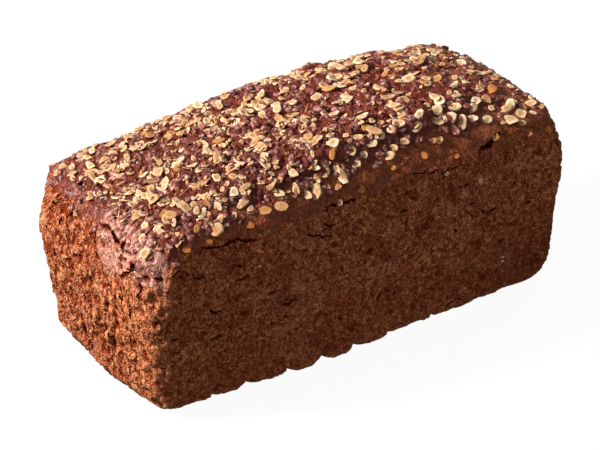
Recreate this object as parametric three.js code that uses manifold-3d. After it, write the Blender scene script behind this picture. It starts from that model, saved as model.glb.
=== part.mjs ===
// A dark wholemeal rye loaf baked in a tin, with oat flakes baked onto its risen top.
// Millimetres, +Z up. +X runs along the loaf and +Y across it. The origin is on the
// surface that the loaf stands on, under the middle of the box around it.

import * as THREE from "three";
import { ImprovedNoise } from "three/addons/math/ImprovedNoise.js";
import { mergeVertices } from "three/addons/utils/BufferGeometryUtils.js";
import Module from "manifold-3d";

const wasm = await Module();
wasm.setup();

// The tin's shape, as the baked loaf keeps it.
const LENGTH = 240;
const WIDTH = 111;
const RIM_HEIGHT = 90.3; // the walls end here and the risen top begins
const UPRIGHT_CORNER = 11.3; // radius of the four upright corners
const BASE_CORNER = 8.5; // the same corners, down at the base
const BASE_ROLL = 16.3; // radius of the roll from the walls to the flat base
const LONG_WALL_BOW = 1.8; // how much a long wall swells at its middle
const END_WALL_BOW = 3.1; // how much an end wall swells at its middle

// How far a wall stands in from its widest, at four shares of the rim height.
const WALL_INSETS = [
  { at: 0, inset: 4 },
  { at: 0.35, inset: 3.4 },
  { at: 0.7, inset: 0 },
  { at: 1, inset: 3.9 },
];

// The risen top: flat across, arched along, with its peak a little towards +X.
const SHOULDER = 5.6; // radius of the edge between walls and top
const DOME_RISE = 16.5;
const DOME_LEAN = 0.077; // how far the peak is off centre, as a share of half the top
const ARCH_POWER = 2.4; // a higher power makes the arch squarer
const ACROSS_POWER = 6;

// Unevenness left by the dough.
const LUMP_HEIGHT = 1.5;
const LUMP_SPACING = 13;
const FINE_LUMPS = 0.6; // height of the lumps half as far apart, as a share of the others
const WALL_WAVE = 0.7;
const WALL_WAVE_SPACING = 16;

// The body is a box of cells wrapped onto the loaf's form, closer together where it turns.
const CELLS_ALONG = 32;
const CELLS_ACROSS = 15;
const ROLL_CELLS = 4;
const WALL_CELLS = 6;
const SHOULDER_CELLS = 2;
const CELLS_UP = ROLL_CELLS + WALL_CELLS + SHOULDER_CELLS;
const GATHER = 0.24; // how much closer the cells are near the corners

// Oat flakes: whole ones in the places where they show most, then many sown by rule.
const FLAKE_SIDES = 7;
const FLAKE_THICKNESS = 1.6;
const FLAKE_SUNK = 0.35; // share of its thickness below the crust
const FLAKE_BEVEL = 0.78; // top outline as a share of the bottom one
const FLAKE_TILT = 0.3; // steepest lean, in radians
const FLAKE_NARROWEST = 0.72; // its width as a share of its length
const FLAKE_WIDEST = 0.95;
const FLAKE_LARGEST = 7.6;
const FLAKE_SMALLEST = 4.6;
const FLAKES_SOWN = 80;
const SOWING_TRIES = 14;
const SOWN_AREA = { x0: -103, x1: 111, y0: -43, y1: 47 };
const WHOLE_FLAKES = [
  { x: -79.3, y: -48.9, across: 7.4 },
  { x: -53.3, y: -48.7, across: 5.4 },
  { x: -44.9, y: -49, across: 5.6 },
  { x: -31.2, y: -47.8, across: 6 },
  { x: -25.4, y: -48.1, across: 7 },
  { x: -2.6, y: -50.9, across: 5 },
  { x: 17.4, y: -44.4, across: 6 },
  { x: 45.7, y: -44.5, across: 5.6 },
  { x: 57.2, y: -38, across: 6.4 },
  { x: 57.2, y: -4.1, across: 9 },
  { x: 67.8, y: -40.1, across: 6.4 },
  { x: 74.9, y: -48.8, across: 5.6 },
  { x: 86.8, y: -44.7, across: 6.4 },
  { x: 105.1, y: -49, across: 5 },
];

// Walls are named by the way they face. A ray starts outside and runs into the loaf.
const REACH = 200;
const WALLS = {
  front: { from: (along, z) => new THREE.Vector3(along, -REACH, z), out: [0, -1, 0] },
  back: { from: (along, z) => new THREE.Vector3(along, REACH, z), out: [0, 1, 0] },
  left: { from: (along, z) => new THREE.Vector3(-REACH, along, z), out: [-1, 0, 0] },
  right: { from: (along, z) => new THREE.Vector3(REACH, along, z), out: [1, 0, 0] },
};

// Cracks in the wall crust, each through a few points: place along the wall, height.
const CRACK_WIDTH = 2.4;
const CRACK_DEPTH = 2.4;
const CRACK_PROUD = 1.4; // how far the cutting blade stands out of the crust
const CRACK_STEPS = 5;
const CRACK_TIP = 0.2; // width and depth at a crack's ends, as a share
const CRACKS = [
  { wall: "front", path: [[-107, 83], [-100, 79], [-90, 76.5]] },
  { wall: "front", path: [[-114, 76], [-106, 74.3], [-99, 75]] },
  { wall: "front", path: [[-89, 89], [-79, 87.8], [-70, 89.2], [-59, 86.6]] },
  { wall: "front", path: [[-36, 79.4], [-28, 79], [-20.5, 71]] },
  { wall: "front", path: [[-26, 88.5], [-15, 89], [-4, 89.2]] },
  { wall: "front", path: [[23, 88.4], [45, 87.6], [61, 88.8], [69, 88]] },
  { wall: "left", path: [[28, 88.9], [18, 87], [9, 87.3]] },
  { wall: "left", path: [[-20, 91], [-31, 88], [-36, 83], [-39, 77]] },
  { wall: "left", path: [[-27, 74], [-35, 77], [-45, 76]] },
  { wall: "back", path: [[70, 88.5], [52, 89], [34, 87.5]] },
  { wall: "back", path: [[-12, 89], [-30, 87.6], [-52, 88.8]] },
  { wall: "back", path: [[98, 80], [90, 76], [80, 75]] },
  { wall: "right", path: [[-26, 88], [-12, 89], [2, 87]] },
  { wall: "right", path: [[24, 80], [34, 77], [42, 78]] },
];

// Pits where bubbles broke through the wall crust.
const PIT_LARGEST = 3.4;
const PIT_SMALLEST = 1.9;
const PIT_DEPTH = 0.75; // share of the pit's half width
const PIT_NARROWEST = 0.6; // its height as a share of its width
const PIT_WIDEST = 0.9;
const PITS = { front: 4, back: 4, left: 3, right: 3 };
const PIT_LOW = 22;
const PIT_HIGH = 76;
const PIT_CORNER_GAP = 16;

// Notches across the rolled base edge, where the crust pulled apart in lobes.
const NOTCH_RADIUS = 2.1;
const NOTCH_LENGTH = 18;
const NOTCH_SIDES = 5;
const NOTCH_TURN = 0.97; // where on the roll a notch is deepest, in radians down from level
const FRONT_NOTCHES = [-80, -61, -39.5, -20, -2, 17.5, 44, 71];
const BACK_NOTCHES = [-86, -63, -44, -17, 6, 24, 52, 79];

const SEED = 7;
const noise = new ImprovedNoise();

function between(low, high) {
  return THREE.MathUtils.lerp(low, high, THREE.MathUtils.seededRandom());
}

// The smooth curve through the four wall insets.
function wallInset(z) {
  const share = Math.min(z / RIM_HEIGHT, 1);
  return WALL_INSETS.reduce((sum, one) => {
    const others = WALL_INSETS.filter((other) => other !== one);
    const weight = others.reduce((w, other) => (w * (share - other.at)) / (one.at - other.at), 1);
    return sum + weight * one.inset;
  }, 0);
}

// Height and inset at one level of cells: up the base roll, the wall, the shoulder.
function skinProfile(level) {
  if (level <= ROLL_CELLS) {
    const turn = ((level / ROLL_CELLS) * Math.PI) / 2;
    const z = BASE_ROLL * (1 - Math.cos(turn));
    return { z, inset: BASE_ROLL * (1 - Math.sin(turn)) + wallInset(z) };
  }
  if (level <= ROLL_CELLS + WALL_CELLS) {
    const z = THREE.MathUtils.lerp(BASE_ROLL, RIM_HEIGHT, (level - ROLL_CELLS) / WALL_CELLS);
    return { z, inset: wallInset(z) };
  }
  const turn = (((level - ROLL_CELLS - WALL_CELLS) / SHOULDER_CELLS) * Math.PI) / 2;
  const z = RIM_HEIGHT + SHOULDER * Math.sin(turn);
  return { z, inset: SHOULDER * (1 - Math.cos(turn)) + wallInset(z) };
}

// Where a point on one side of a square lands on a side with a rounded corner.
function roundSide(along, halfAlong, halfOut, radius) {
  const into = (Math.abs(along) * halfAlong - (halfAlong - radius)) / radius;
  if (into <= 0) {
    return { along: along * halfAlong, out: halfOut };
  }
  const turn = (into * Math.PI) / 4;
  return {
    along: Math.sign(along) * (halfAlong - radius + radius * Math.sin(turn)),
    out: halfOut - radius + radius * Math.cos(turn),
  };
}

// Maps the square -1..1 onto the loaf's plan at one level, with bowed sides.
function planPoint(x, y, halfLong, halfWide, radius) {
  const ring = Math.max(Math.abs(x), Math.abs(y)) || 1;
  let px;
  let py;
  if (Math.abs(x) >= Math.abs(y)) {
    const side = roundSide(y / ring, halfWide, halfLong, radius);
    px = Math.sign(x) * side.out;
    py = side.along;
  } else {
    const side = roundSide(x / ring, halfLong, halfWide, radius);
    px = side.along;
    py = Math.sign(y) * side.out;
  }
  const bowedX = px * (1 - (END_WALL_BOW / halfLong) * (py / halfWide) ** 2);
  const bowedY = py * (1 - (LONG_WALL_BOW / halfWide) * (px / halfLong) ** 2);
  return [bowedX * ring, bowedY * ring];
}

function domeHeight(x, y) {
  const leaned = x - DOME_LEAN * (1 - x * x);
  return DOME_RISE * (1 - Math.abs(leaned) ** ARCH_POWER) * (1 - Math.abs(y) ** ACROSS_POWER);
}

// Adds the dough's lumps: up and down on the top, in and out on the walls.
function unevenPoint(p) {
  const onTop = THREE.MathUtils.smoothstep(p.z, RIM_HEIGHT - SHOULDER, RIM_HEIGHT + SHOULDER);
  const offBase = THREE.MathUtils.smoothstep(p.z, 0, BASE_ROLL);
  const at = p.clone().divideScalar(LUMP_SPACING);
  const wave = p.clone().divideScalar(WALL_WAVE_SPACING);
  const lumps = noise.noise(at.x, at.y, 0) + FINE_LUMPS * noise.noise(2 * at.x, 2 * at.y, 1.5);
  p.z += onTop * LUMP_HEIGHT * lumps;
  p.x += offBase * WALL_WAVE * noise.noise(wave.x, wave.y, wave.z);
  p.y += offBase * WALL_WAVE * noise.noise(wave.y, wave.z, wave.x);
}

// Draws the cells closer together near the ends of the range -1..1.
function gathered(place) {
  return place * (1 + GATHER * (1 - place * place));
}

// Moves one corner of the box of cells to its place on the loaf.
function loafPoint(p) {
  const { z, inset } = skinProfile(((p.z + 1) / 2) * CELLS_UP);
  const rising = THREE.MathUtils.clamp((2 * (z - BASE_ROLL)) / (RIM_HEIGHT - BASE_ROLL), 0, 1);
  const radius = THREE.MathUtils.lerp(BASE_CORNER, UPRIGHT_CORNER, rising);
  const along = gathered(p.x);
  const across = gathered(p.y);
  const [x, y] = planPoint(along, across, LENGTH / 2 - inset, WIDTH / 2 - inset, radius);
  p.set(x, y, p.z === 1 ? z + domeHeight(along, across) : z);
  unevenPoint(p);
}

function bodyGeometry() {
  const geometry = new THREE.BoxGeometry(2, 2, 2, CELLS_ALONG, CELLS_ACROSS, CELLS_UP);
  moveVertices(geometry, loafPoint);
  return geometry;
}

function moveVertices(geometry, move) {
  const places = geometry.getAttribute("position");
  const p = new THREE.Vector3();
  for (let i = 0; i < places.count; i += 1) {
    p.fromBufferAttribute(places, i);
    move(p);
    places.setXYZ(i, p.x, p.y, p.z);
  }
}

function solidFrom(geometry) {
  const bare = geometry.clone();
  bare.deleteAttribute("normal");
  bare.deleteAttribute("uv");
  const merged = mergeVertices(bare);
  return new wasm.Manifold(
    new wasm.Mesh({
      numProp: 3,
      vertProperties: merged.getAttribute("position").array,
      triVerts: new Uint32Array(merged.index.array),
    }),
  );
}

function geometryFrom(solid) {
  const mesh = solid.getMesh();
  const geometry = new THREE.BufferGeometry();
  geometry.setAttribute("position", new THREE.BufferAttribute(mesh.vertProperties, 3));
  geometry.setIndex(new THREE.BufferAttribute(mesh.triVerts, 1));
  geometry.computeVertexNormals();
  return geometry;
}

// The first point of the body that a ray meets, and the way the skin faces there.
const rayTarget = new THREE.Mesh(bodyGeometry());
const caster = new THREE.Raycaster();

function skinAt(origin, direction) {
  caster.set(origin, direction);
  const hit = caster.intersectObject(rayTarget)[0];
  return { point: hit.point, normal: hit.face.normal.clone() };
}

function topAt(x, y) {
  return skinAt(new THREE.Vector3(x, y, REACH), new THREE.Vector3(0, 0, -1));
}

function wallAt(wall, along, z) {
  const { from, out } = WALLS[wall];
  return skinAt(from(along, z), new THREE.Vector3(...out).negate());
}

// One oat flake: a thin bevelled oval that leans a little and sits partly in the crust.
function flakeSolid({ x, y, across }) {
  const { point, normal } = topAt(x, y);
  const half = across / 2;
  const flake = new THREE.CylinderGeometry(FLAKE_BEVEL, 1, 1, FLAKE_SIDES);
  flake.scale(half, FLAKE_THICKNESS, half * between(FLAKE_NARROWEST, FLAKE_WIDEST));
  flake.rotateY(between(0, 2 * Math.PI));
  flake.translate(0, FLAKE_THICKNESS * (0.5 - FLAKE_SUNK), 0);
  flake.rotateX(between(-FLAKE_TILT, FLAKE_TILT));
  flake.rotateZ(between(-FLAKE_TILT, FLAKE_TILT));
  const turn = new THREE.Quaternion().setFromUnitVectors(new THREE.Vector3(0, 1, 0), normal);
  flake.applyQuaternion(turn);
  flake.translate(point.x, point.y, point.z);
  return solidFrom(flake);
}

// How far a place is from the flakes already laid.
function roomAt(place, laid) {
  return Math.min(...laid.map((other) => Math.hypot(place.x - other.x, place.y - other.y)));
}

// Sows flakes evenly, largest first: each takes the roomiest of a few random places.
function sownFlakes() {
  const laid = [...WHOLE_FLAKES];
  for (let i = 0; i < FLAKES_SOWN; i += 1) {
    const tries = Array.from({ length: SOWING_TRIES }, () => ({
      x: between(SOWN_AREA.x0, SOWN_AREA.x1),
      y: between(SOWN_AREA.y0, SOWN_AREA.y1),
    }));
    tries.sort((a, b) => roomAt(b, laid) - roomAt(a, laid));
    const across = THREE.MathUtils.lerp(FLAKE_LARGEST, FLAKE_SMALLEST, i / FLAKES_SOWN);
    laid.push({ ...tries[0], across });
  }
  return laid;
}

// A crack is a three-sided blade along a curve, thin at its ends, edge pointing in.
function crackSolid({ wall, path }) {
  const out = new THREE.Vector3(...WALLS[wall].out);
  const curve = new THREE.CatmullRomCurve3(path.map(([along, z]) => wallAt(wall, along, z).point));
  const blade = new THREE.CylinderGeometry(1, 1, 1, 3, CRACK_STEPS);
  moveVertices(blade, (p) => {
    const share = p.y + 0.5;
    const across = out.clone().cross(curve.getTangent(share)).normalize();
    const size = Math.max(CRACK_TIP, Math.sin(Math.PI * share));
    const inwards = (2 * p.z + 1) / 3; // 1 on the blade's edge, 0 on its back
    const sideways = p.x * CRACK_WIDTH * size;
    const outwards = CRACK_PROUD - inwards * (CRACK_PROUD + CRACK_DEPTH * size);
    p.copy(curve.getPoint(share)).addScaledVector(across, sideways).addScaledVector(out, outwards);
  });
  return solidFrom(blade);
}

function pitSolid(wall) {
  const { out } = WALLS[wall];
  const reach = (out[0] ? WIDTH : LENGTH) / 2 - PIT_CORNER_GAP;
  const { point, normal } = wallAt(wall, between(-reach, reach), between(PIT_LOW, PIT_HIGH));
  const half = between(PIT_SMALLEST, PIT_LARGEST);
  const pit = new THREE.IcosahedronGeometry(1);
  pit.scale(half, half * between(PIT_NARROWEST, PIT_WIDEST), half * PIT_DEPTH);
  pit.rotateZ(between(0, Math.PI));
  const turn = new THREE.Quaternion().setFromUnitVectors(new THREE.Vector3(0, 0, 1), normal);
  pit.applyQuaternion(turn);
  pit.translate(point.x, point.y, point.z);
  return solidFrom(pit);
}

// A notch runs across the base roll, on the front (side -1) or the back (side 1).
function notchSolid(x, side) {
  const notch = new THREE.CylinderGeometry(NOTCH_RADIUS, NOTCH_RADIUS, NOTCH_LENGTH, NOTCH_SIDES);
  const rollCentre = WIDTH / 2 - wallInset(0) - BASE_ROLL;
  const y = rollCentre + BASE_ROLL * Math.cos(NOTCH_TURN);
  const z = BASE_ROLL * (1 - Math.sin(NOTCH_TURN));
  notch.rotateX(side * (Math.PI / 2 - NOTCH_TURN));
  notch.translate(x, side * y, z);
  return solidFrom(notch);
}

// Drops any scrap that crossing cuts have set free.
function withoutScraps(solid) {
  return solid.decompose().reduce((best, piece) => (piece.volume() > best.volume() ? piece : best));
}

function bakedSolid() {
  THREE.MathUtils.seededRandom(SEED);
  let solid = solidFrom(rayTarget.geometry);
  const cuts = [
    ...CRACKS.map(crackSolid),
    ...Object.entries(PITS).flatMap(([wall, count]) => Array.from({ length: count }, () => pitSolid(wall))),
    ...FRONT_NOTCHES.map((x) => notchSolid(x, -1)),
    ...BACK_NOTCHES.map((x) => notchSolid(x, 1)),
  ];
  cuts.forEach((cut) => {
    solid = solid.subtract(cut);
  });
  solid = withoutScraps(solid);
  sownFlakes().forEach((flake) => {
    solid = solid.add(flakeSolid(flake));
  });
  return solid;
}

// Puts the middle of the box around the loaf over the origin, and its base at zero.
function centred(geometry) {
  geometry.computeBoundingBox();
  const { min, max } = geometry.boundingBox;
  return geometry.translate(-(min.x + max.x) / 2, -(min.y + max.y) / 2, -min.z);
}

const crust = new THREE.MeshStandardMaterial({ color: 0x5a3424, roughness: 0.85, metalness: 0 });
const loaf = new THREE.Mesh(centred(geometryFrom(bakedSolid())), crust);
loaf.name = "loaf";

const part = new THREE.Group();
part.add(loaf);

export default part;
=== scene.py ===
# %% [markdown]
# # A wholemeal rye loaf from a tin, with oat flakes baked onto its top
#
# The bread is one piece. Its walls and base have taken the form of the tin, its top has risen out of the
# tin as a low dome, and rolled oats and bran were strewn on the dough before it was baked. The fixed
# frame is loaded first. It holds the plain solid `loaf`, which the finished loaf stands in for.

# %% Load the frame
import math
import random
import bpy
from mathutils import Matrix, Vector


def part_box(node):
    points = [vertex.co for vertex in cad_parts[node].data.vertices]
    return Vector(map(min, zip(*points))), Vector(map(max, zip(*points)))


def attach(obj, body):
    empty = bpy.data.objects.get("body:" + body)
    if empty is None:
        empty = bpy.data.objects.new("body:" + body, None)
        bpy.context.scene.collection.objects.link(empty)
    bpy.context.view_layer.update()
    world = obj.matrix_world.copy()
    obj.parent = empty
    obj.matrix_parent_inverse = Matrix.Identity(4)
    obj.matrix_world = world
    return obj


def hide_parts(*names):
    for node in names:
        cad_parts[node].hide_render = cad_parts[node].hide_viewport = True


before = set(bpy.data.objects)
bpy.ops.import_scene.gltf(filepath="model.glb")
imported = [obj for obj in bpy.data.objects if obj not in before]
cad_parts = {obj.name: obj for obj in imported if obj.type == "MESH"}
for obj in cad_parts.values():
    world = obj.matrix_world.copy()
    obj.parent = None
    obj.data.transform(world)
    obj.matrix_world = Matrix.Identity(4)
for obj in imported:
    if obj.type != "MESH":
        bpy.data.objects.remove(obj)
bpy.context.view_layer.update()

from types import SimpleNamespace

import bmesh
import bpy
import numpy as np
from mathutils import Matrix, Quaternion, Vector, noise
from mathutils.bvhtree import BVHTree

low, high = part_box("loaf")
MM = 0.001
print("solid loaf, mm:", [round(side / MM, 1) for side in high - low])

# %% [markdown]
# ## The view
#
# A long lens, far away, keeps the long sides almost parallel. The camera looks down on the loaf across
# one corner. Its place is worked out from a turn round the loaf, a height angle and a distance.

# %% Camera
AIM = Vector((-1.42, 2.07, 46.42)) * MM
AIM_DISTANCE = 1416.3 * MM
AROUND = math.radians(-33.231)
ABOVE = math.radians(30.017)
HEAD_TILT = 0.013
LENS = 178.59

towards_camera = Vector((math.sin(AROUND) * math.cos(ABOVE), -math.cos(AROUND) * math.cos(ABOVE),
                         math.sin(ABOVE)))
look = (-towards_camera).to_track_quat("-Z", "Y").to_matrix().to_4x4()
camera = bpy.data.objects.new("camera", bpy.data.cameras.new("camera"))
camera.data.lens = LENS
camera.data.sensor_width = 36
stands_at = Matrix.Translation(AIM + towards_camera * AIM_DISTANCE)
camera.matrix_world = stands_at @ look @ Matrix.Rotation(-HEAD_TILT, 4, "Z")
bpy.context.scene.collection.objects.link(camera)
bpy.context.scene.camera = camera
print("camera, mm:", [round(c / MM) for c in camera.matrix_world.translation])

# %% [markdown]
# ## The dough in the tin: a finely divided block
#
# A loaf of bread is an even block that is rough all over, so it needs many faces of about the same size.
# A cube is cut into a cage by subdividing its edges, one direction after the other, and then every face
# is cut again. Small helpers let go of what is selected and pick edges or faces by where they lie.

# %% Helpers for selecting
def let_go():
    """Ends edit mode and deselects everything, because an operator acts on all that is selected."""
    if bpy.context.object and bpy.context.object.mode != "OBJECT":
        bpy.ops.object.mode_set(mode="OBJECT")
    bpy.ops.object.select_all(action="DESELECT")


def hold(piece):
    """Makes this piece the only selected one."""
    let_go()
    piece.select_set(True)
    bpy.context.view_layer.objects.active = piece


def pick(piece, kind, wanted):
    """In edit mode, selects the vertices, edges or faces for which wanted() is true."""
    bpy.ops.mesh.select_mode(type=kind)
    bpy.ops.mesh.select_all(action="DESELECT")
    shape = bmesh.from_edit_mesh(piece.data)
    for part in {"VERT": shape.verts, "EDGE": shape.edges, "FACE": shape.faces}[kind]:
        if wanted(part):
            part.select_set(True)
    shape.select_flush_mode()
    bmesh.update_edit_mesh(piece.data)

# %% The block
CAGE_CELLS = (51, 25, 26)
FINE_CUTS = 3

let_go()
bpy.ops.mesh.primitive_cube_add(size=2)
loaf = bpy.context.object
loaf.name = "loaf_crust"
bpy.ops.object.mode_set(mode="EDIT")
for axis, cells in enumerate(CAGE_CELLS):
    pick(loaf, "EDGE", lambda edge: abs(edge.verts[0].co[axis] - edge.verts[1].co[axis]) > 1e-4)
    bpy.ops.mesh.subdivide(number_cuts=cells - 1)
bpy.ops.mesh.select_all(action="SELECT")
bpy.ops.mesh.subdivide(number_cuts=FINE_CUTS)
bpy.ops.object.mode_set(mode="OBJECT")
print("block faces:", len(loaf.data.polygons))

# %% [markdown]
# ## The form of the tin and the risen dome
#
# The walls swell a little at two thirds of their height and stand in at the rim, where the dough pulled
# away from the tin. The base edge is a wide roll, the upright corners are rounded, and the long sides bow
# in plan. The right end is a little fuller near the base and flatter above. Every point of the block is
# put on that form by its share of the way up and round, which hand tools can't do this evenly.

# %% Driving sizes, in mm
LENGTH, WIDTH, RIM_HEIGHT = 240.0, 111.0, 90.3
SHOULDER, BASE_ROLL = 5.6, 16.3
CORNER, BASE_CORNER = 11.3, 8.5
RISE, RISE_ALONG, RISE_ACROSS = 16.5, 2.4, 6.0
PEAK_SHIFT = 0.077
SIDE_BOW, END_BOW = 1.8, 3.1
# How far the right end swells, at which height, and how far up and down that reaches.
RIGHT_END_SWELLS = ((1.8, 20, 14), (-1.2, 66, 14))
RIGHT_END_FROM, RIGHT_END_FULL = 90, 110
# Share of the way up the wall, and how far the wall stands in there.
STANDS_IN = ((0, 4.0), (0.35, 3.4), (0.7, 0.0), (1.0, 3.9))

stand_in_heights = [share * RIM_HEIGHT for share, _ in STANDS_IN]
stand_in_curve = np.polyfit(stand_in_heights, [inset for _, inset in STANDS_IN], 3)

# %% From block to loaf
def up_the_side(share):
    """Inset and height of a point that is this share of the way from the base, up the wall, to the dome."""
    base_arc, shoulder_arc = BASE_ROLL * math.pi / 2, SHOULDER * math.pi / 2
    wall = RIM_HEIGHT - BASE_ROLL
    way = share * (base_arc + wall + shoulder_arc)
    base_turn = np.clip(way / BASE_ROLL, 0, math.pi / 2)
    shoulder_turn = np.clip((way - base_arc - wall) / SHOULDER, 0, math.pi / 2)
    height = BASE_ROLL * (1 - np.cos(base_turn)) + np.clip(way - base_arc, 0, wall)
    height += SHOULDER * np.sin(shoulder_turn)
    inset = BASE_ROLL * (1 - np.sin(base_turn)) + SHOULDER * (1 - np.cos(shoulder_turn))
    return inset + np.polyval(stand_in_curve, np.minimum(height, RIM_HEIGHT)), height


def along_a_side(out, beside, half_out, half_beside, corner):
    """Where a point lies on the side that faces out, whose ends turn round the corners."""
    turn = np.clip((np.abs(beside) * half_beside - (half_beside - corner)) / corner, 0, 1) * math.pi / 4
    place_out = np.sign(out) * (half_out - corner * (1 - np.cos(turn)))
    turned = np.sign(beside) * (half_beside - corner * (1 - np.sin(turn)))
    return place_out, np.where(turn > 0, turned, half_beside * beside)


def round_the_corner(square, half_length, half_width, corner):
    """Where a point of the square -1..1 lies on a rectangle with round corners and bowed sides."""
    reach = np.maximum(np.abs(square).max(1), 1e-9)
    x, y = (square / reach[:, None]).T
    end_x, end_y = along_a_side(x, y, half_length, half_width, corner)
    side_y, side_x = along_a_side(y, x, half_width, half_length, corner)
    on_end = np.abs(x) >= np.abs(y)
    place_x, place_y = np.where(on_end, end_x, side_x), np.where(on_end, end_y, side_y)
    bowed_x = place_x * (1 - END_BOW / half_length * (place_y / half_width) ** 2)
    bowed_y = place_y * (1 - SIDE_BOW / half_width * (place_x / half_length) ** 2)
    return bowed_x * reach, bowed_y * reach


def loaf_form(block):
    """Places of the block's points, from -1 to 1 each way, on the loaf, in mm."""
    inset, height = up_the_side((block[:, 2] + 1) / 2)
    middle_share = np.clip(2 * (height - BASE_ROLL) / (RIM_HEIGHT - BASE_ROLL), 0, 1)
    corner = BASE_CORNER + (CORNER - BASE_CORNER) * middle_share
    x, y = round_the_corner(block[:, :2], LENGTH / 2 - inset, WIDTH / 2 - inset, corner)
    on_top = block[:, 2] > 0.9999
    leaning = block[:, 0] - PEAK_SHIFT * (1 - block[:, 0] ** 2)
    dome = RISE * (1 - np.abs(leaning) ** RISE_ALONG) * (1 - np.abs(block[:, 1]) ** RISE_ACROSS)
    z = np.where(on_top, RIM_HEIGHT + SHOULDER + dome, height)
    at_right_wall = np.clip((x - RIGHT_END_FROM) / (RIGHT_END_FULL - RIGHT_END_FROM), 0, 1)
    swell = sum(by * np.exp(-((z - at) / reach) ** 2) for by, at, reach in RIGHT_END_SWELLS)
    return np.stack([x + swell * at_right_wall, y, z], 1)

# %% Helpers that read and write points
def read_points(piece):
    points = np.empty(len(piece.data.vertices) * 3)
    piece.data.vertices.foreach_get("co", points)
    return points.reshape(-1, 3)


def write_points(piece, points):
    piece.data.vertices.foreach_set("co", points.ravel())
    piece.data.update()


def read_normals(piece):
    normals = np.empty(len(piece.data.vertices) * 3)
    piece.data.vertex_normals.foreach_get("vector", normals)
    return normals.reshape(-1, 3)


def new_piece(name, points, faces):
    piece = bpy.data.objects.new(name, bpy.data.meshes.new(name))
    piece.data.from_pydata(points, [], faces)
    bpy.context.scene.collection.objects.link(piece)
    return piece


def surface_of(piece):
    return BVHTree.FromObject(piece, bpy.context.evaluated_depsgraph_get())

# %% Put the block on the form
write_points(loaf, loaf_form(read_points(loaf)) * MM)
print("formed loaf, mm:", np.ptp(read_points(loaf), axis=0) / MM)

# %% Soften the fold between the shoulder and the dome
FOLD_LOW, FOLD_HIGH = RIM_HEIGHT - 4, RIM_HEIGHT + SHOULDER + 11
hold(loaf)
bpy.ops.object.mode_set(mode="EDIT")
for low_end, high_end, rounds in ((FOLD_LOW, FOLD_HIGH, 25), (FOLD_LOW + 3, FOLD_HIGH - 3, 25)):
    pick(loaf, "VERT", lambda point: low_end * MM < point.co.z < high_end * MM)
    bpy.ops.mesh.vertices_smooth(factor=0.5, repeat=rounds)
bpy.ops.object.mode_set(mode="OBJECT")
smooth_points, smooth_normals = read_points(loaf), read_normals(loaf)
smooth_surface = surface_of(loaf)
print("smooth loaf, mm:", np.ptp(smooth_points, axis=0) / MM)

# %% [markdown]
# ## Which part of the crust is which
#
# The walls were pressed against the tin, the top rose free, and part of the top stayed smooth: along the
# near shoulder and towards the right end. The ends are more torn, and under their rims the crust lifted
# in plates. Vertex groups say how much of each a point is, so that each kind of relief stays on its own
# part.

# %% Helpers for vertex groups
def ease(low_end, high_end, values):
    """0 below low_end, 1 above high_end, and a soft step between."""
    share = np.clip((values - low_end) / (high_end - low_end), 0, 1)
    return share * share * (3 - 2 * share)


def patches(points, size, seed):
    """Soft patches of about this size in mm, from about -1 to 1."""
    shift = Vector((seed * 17.3, seed * 5.1, seed * 9.7))
    return np.array([noise.noise(Vector(p) / size + shift) for p in points / MM]) * 1.6


def add_group(piece, name, weights):
    group = piece.vertex_groups.new(name=name)
    for index in np.nonzero(weights > 0.003)[0]:
        group.add([int(index)], float(weights[index]), "REPLACE")

# %% Top, walls and the smooth part of the top
# How far the border between wall and top wanders, the size of its waves in mm, and a seed.
BORDER_WAVES = ((3.5, 9, 3), (2, 4, 6), (1, 1.8, 7))

x, y, z = smooth_points.T / MM
edge_wander = sum(by * patches(smooth_points, size, seed) for by, size, seed in BORDER_WAVES)
hangs_down = 9 * np.exp(-((y + 40) / 16) ** 2) * (x < -100)
top = ease(RIM_HEIGHT - 6, RIM_HEIGHT + 3, z + edge_wander + hangs_down)
walls = (1 - top) * ease(0.2, 5, z)
wandering_y = y + 4 * patches(smooth_points, 14, 1) - 3 * ease(-60, 80, x)
near_shoulder = 1 - ease(-WIDTH / 2 + 5, -WIDTH / 2 + 13, wandering_y)
right_end = ease(30, 105, x + 22 * patches(smooth_points, 22, 2))
smooth_crust = np.clip(0.9 * near_shoulder * ease(-108, -80, x) + 0.6 * right_end, 0, 0.9)
print("share of the points on the top:", top.mean().round(2))

# %% Ends, rim plates and open crumb
at_end = ease(LENGTH / 2 - 18, LENGTH / 2 - 8, np.abs(x))
pale_corner = walls * at_end * ease(0, 40, np.sign(x) * y + 6 * patches(smooth_points, 12, 9))
at_rim = ease(66, 80, z + 1.6 * edge_wander) * (1 - ease(98, 104, z))
rim_plates = at_rim * at_end * ease(0, 20, np.sign(x) * y)
knobs = top * (1 - smooth_crust) * (1 - 0.8 * rim_plates)
calm_right_corner = 1 - 0.75 * ease(0, 1, x) * (1 - ease(-48, -34, y))
calm_left_corners = 1 - 0.6 * ease(32, 48, np.abs(y)) * ease(0, 1, -x * y)
ends = walls * at_end * (1 - 0.7 * rim_plates)
ends *= calm_right_corner * calm_left_corners
ends *= 0.35 + 0.65 * ease(3, 24, z)
ends *= 1 - 0.4 * (1 - ease(-46, -20, y)) * ease(0, 1, -x)
open_crumb = walls * (0.35 + 0.65 * ease(-0.3, 0.5, patches(smooth_points, 26, 8))) * (1 - 0.8 * rim_plates)
groups = {"top": top, "knobs": knobs, "walls": walls, "ends": ends, "open_crumb": open_crumb,
          "rim_plates": rim_plates}
for name, weights in groups.items():
    add_group(loaf, name, weights)
print("groups:", list(groups))

# %% [markdown]
# ## Relief of the crust
#
# The Displace modifier moves points along their normals by a texture. An empty that is scaled to the size
# of the lumps gives the texture its scale, so a stretched empty gives stretched lumps. Coarse lumps come
# first, then finer ones on top of them, as a crust is rough on every scale.

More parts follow.
